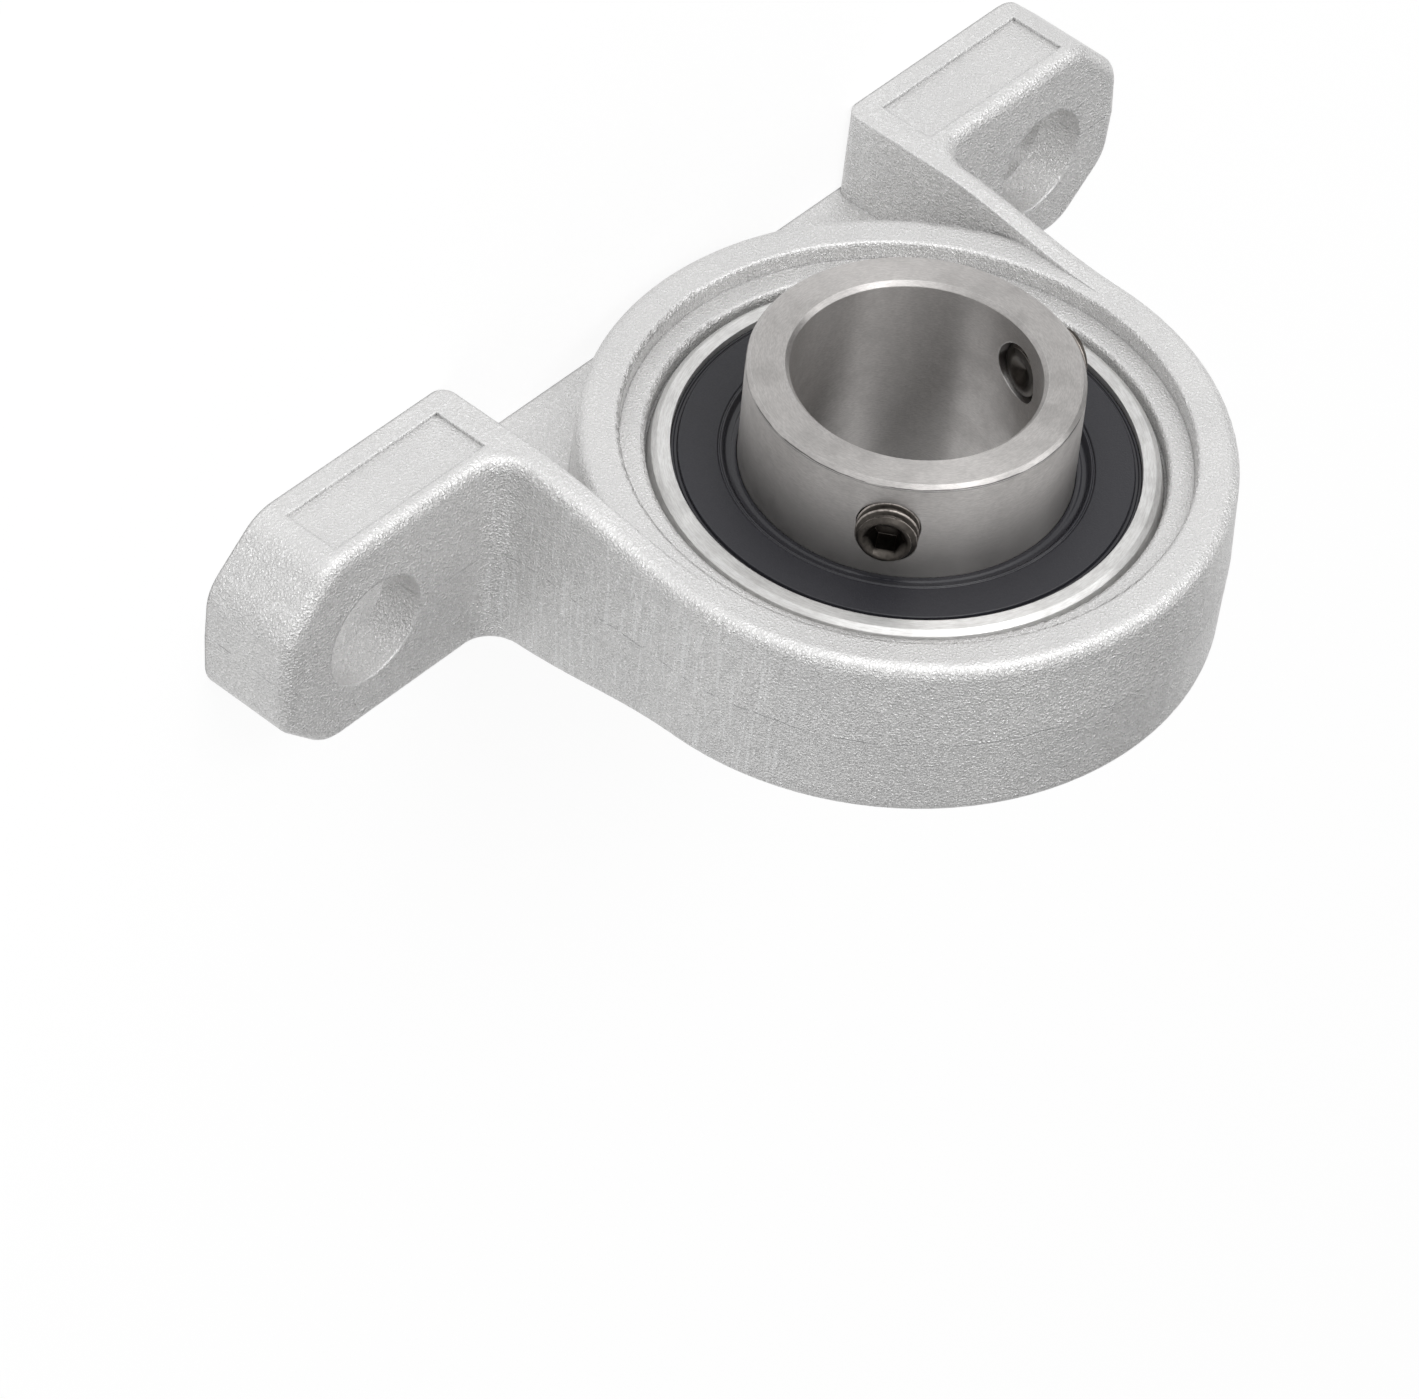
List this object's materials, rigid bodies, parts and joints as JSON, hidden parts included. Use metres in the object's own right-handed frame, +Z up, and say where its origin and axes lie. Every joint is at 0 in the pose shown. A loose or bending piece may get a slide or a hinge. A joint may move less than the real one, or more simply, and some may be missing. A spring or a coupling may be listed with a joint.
{
  "type": "pillow block bearing",
  "caption": "Die-cast pillow block housing with two bolt-down feet, holding a sealed self-aligning ball bearing insert whose inner ring is locked to the shaft by set screws.",
  "frame": {"origin": "on the mounting plane of the feet, straight below the middle of the bearing", "axes": "+X from foot to foot, +Y along the shaft away from the set screws, +Z up from the mounting plane"},
  "size_m": [0.1, 0.0248, 0.0545],
  "materials": {
    "cast_alloy": "blasted zinc alloy casting, fine grain",
    "bearing_steel": "ground satin",
    "ball_steel": "polished",
    "pressed_steel": "pressed sheet",
    "seal_rubber": "matte moulded",
    "black_oxide_steel": "black oxide, oiled"
  },
  "bodies": {
    "housing": {"housing": "cast_alloy"},
    "outer_race": {"outer_ring": "bearing_steel", "seal_front": "seal_rubber", "seal_front_plate": "pressed_steel", "seal_back": "seal_rubber", "seal_back_plate": "pressed_steel"},
    "inner_race": {"inner_ring": "bearing_steel"},
    "cage": {"cage_front": "pressed_steel", "cage_back": "pressed_steel", "cage_rivets": "pressed_steel"},
    "ball_1": {"ball_1": "ball_steel"},
    "ball_2": {"ball_2": "ball_steel"},
    "ball_3": {"ball_3": "ball_steel"},
    "ball_4": {"ball_4": "ball_steel"},
    "ball_5": {"ball_5": "ball_steel"},
    "ball_6": {"ball_6": "ball_steel"},
    "ball_7": {"ball_7": "ball_steel"},
    "ball_8": {"ball_8": "ball_steel"},
    "ball_9": {"ball_9": "ball_steel"},
    "set_screw_1": {"set_screw_1": "black_oxide_steel"},
    "set_screw_2": {"set_screw_2": "black_oxide_steel"}
  },
  "joints": [
    {"name": "insert_align", "type": "hinge", "parent": "housing", "child": "outer_race", "pos_m": [0, 0, 0.028], "axis": [1, 0, 0], "range_deg": [-5, 5]},
    {"name": "shaft_spin", "type": "hinge", "parent": "outer_race", "child": "inner_race", "pos_m": [0, 0, 0.028], "axis": [0, 1, 0], "continuous": true},
    {"name": "cage_orbit", "type": "hinge", "parent": "outer_race", "child": "cage", "pos_m": [0, 0, 0.028], "axis": [0, 1, 0], "continuous": true},
    {"name": "ball_1_spin", "type": "hinge", "parent": "cage", "child": "ball_1", "pos_m": [0.0155, 0, 0.028], "axis": [0, 1, 0], "continuous": true},
    {"name": "ball_2_spin", "type": "hinge", "parent": "cage", "child": "ball_2", "pos_m": [0.01187, 0, 0.03796], "axis": [0, 1, 0], "continuous": true},
    {"name": "ball_3_spin", "type": "hinge", "parent": "cage", "child": "ball_3", "pos_m": [0.00269, 0, 0.04326], "axis": [0, 1, 0], "continuous": true},
    {"name": "ball_4_spin", "type": "hinge", "parent": "cage", "child": "ball_4", "pos_m": [-0.00775, 0, 0.04142], "axis": [0, 1, 0], "continuous": true},
    {"name": "ball_5_spin", "type": "hinge", "parent": "cage", "child": "ball_5", "pos_m": [-0.01457, 0, 0.0333], "axis": [0, 1, 0], "continuous": true},
    {"name": "ball_6_spin", "type": "hinge", "parent": "cage", "child": "ball_6", "pos_m": [-0.01457, 0, 0.0227], "axis": [0, 1, 0], "continuous": true},
    {"name": "ball_7_spin", "type": "hinge", "parent": "cage", "child": "ball_7", "pos_m": [-0.00775, 0, 0.01458], "axis": [0, 1, 0], "continuous": true},
    {"name": "ball_8_spin", "type": "hinge", "parent": "cage", "child": "ball_8", "pos_m": [0.00269, 0, 0.01274], "axis": [0, 1, 0], "continuous": true},
    {"name": "ball_9_spin", "type": "hinge", "parent": "cage", "child": "ball_9", "pos_m": [0.01187, 0, 0.01804], "axis": [0, 1, 0], "continuous": true},
    {"name": "set_screw_1_travel", "type": "slide", "parent": "inner_race", "child": "set_screw_1", "axis": [0.8387, 0, 0.5446], "range_m": [-0.0001, 0.002]},
    {"name": "set_screw_2_travel", "type": "slide", "parent": "inner_race", "child": "set_screw_2", "axis": [-0.9563, 0, 0.2924], "range_m": [-0.0001, 0.002]}
  ],
  "couplings": [
    {"joint": "cage_orbit", "follows": "shaft_spin", "ratio": 0.39758},
    {"joint": "ball_1_spin", "follows": "shaft_spin", "ratio": -2.3385},
    {"joint": "ball_2_spin", "follows": "shaft_spin", "ratio": -2.3385},
    {"joint": "ball_3_spin", "follows": "shaft_spin", "ratio": -2.3385},
    {"joint": "ball_4_spin", "follows": "shaft_spin", "ratio": -2.3385},
    {"joint": "ball_5_spin", "follows": "shaft_spin", "ratio": -2.3385},
    {"joint": "ball_6_spin", "follows": "shaft_spin", "ratio": -2.3385},
    {"joint": "ball_7_spin", "follows": "shaft_spin", "ratio": -2.3385},
    {"joint": "ball_8_spin", "follows": "shaft_spin", "ratio": -2.3385},
    {"joint": "ball_9_spin", "follows": "shaft_spin", "ratio": -2.3385}
  ]
}
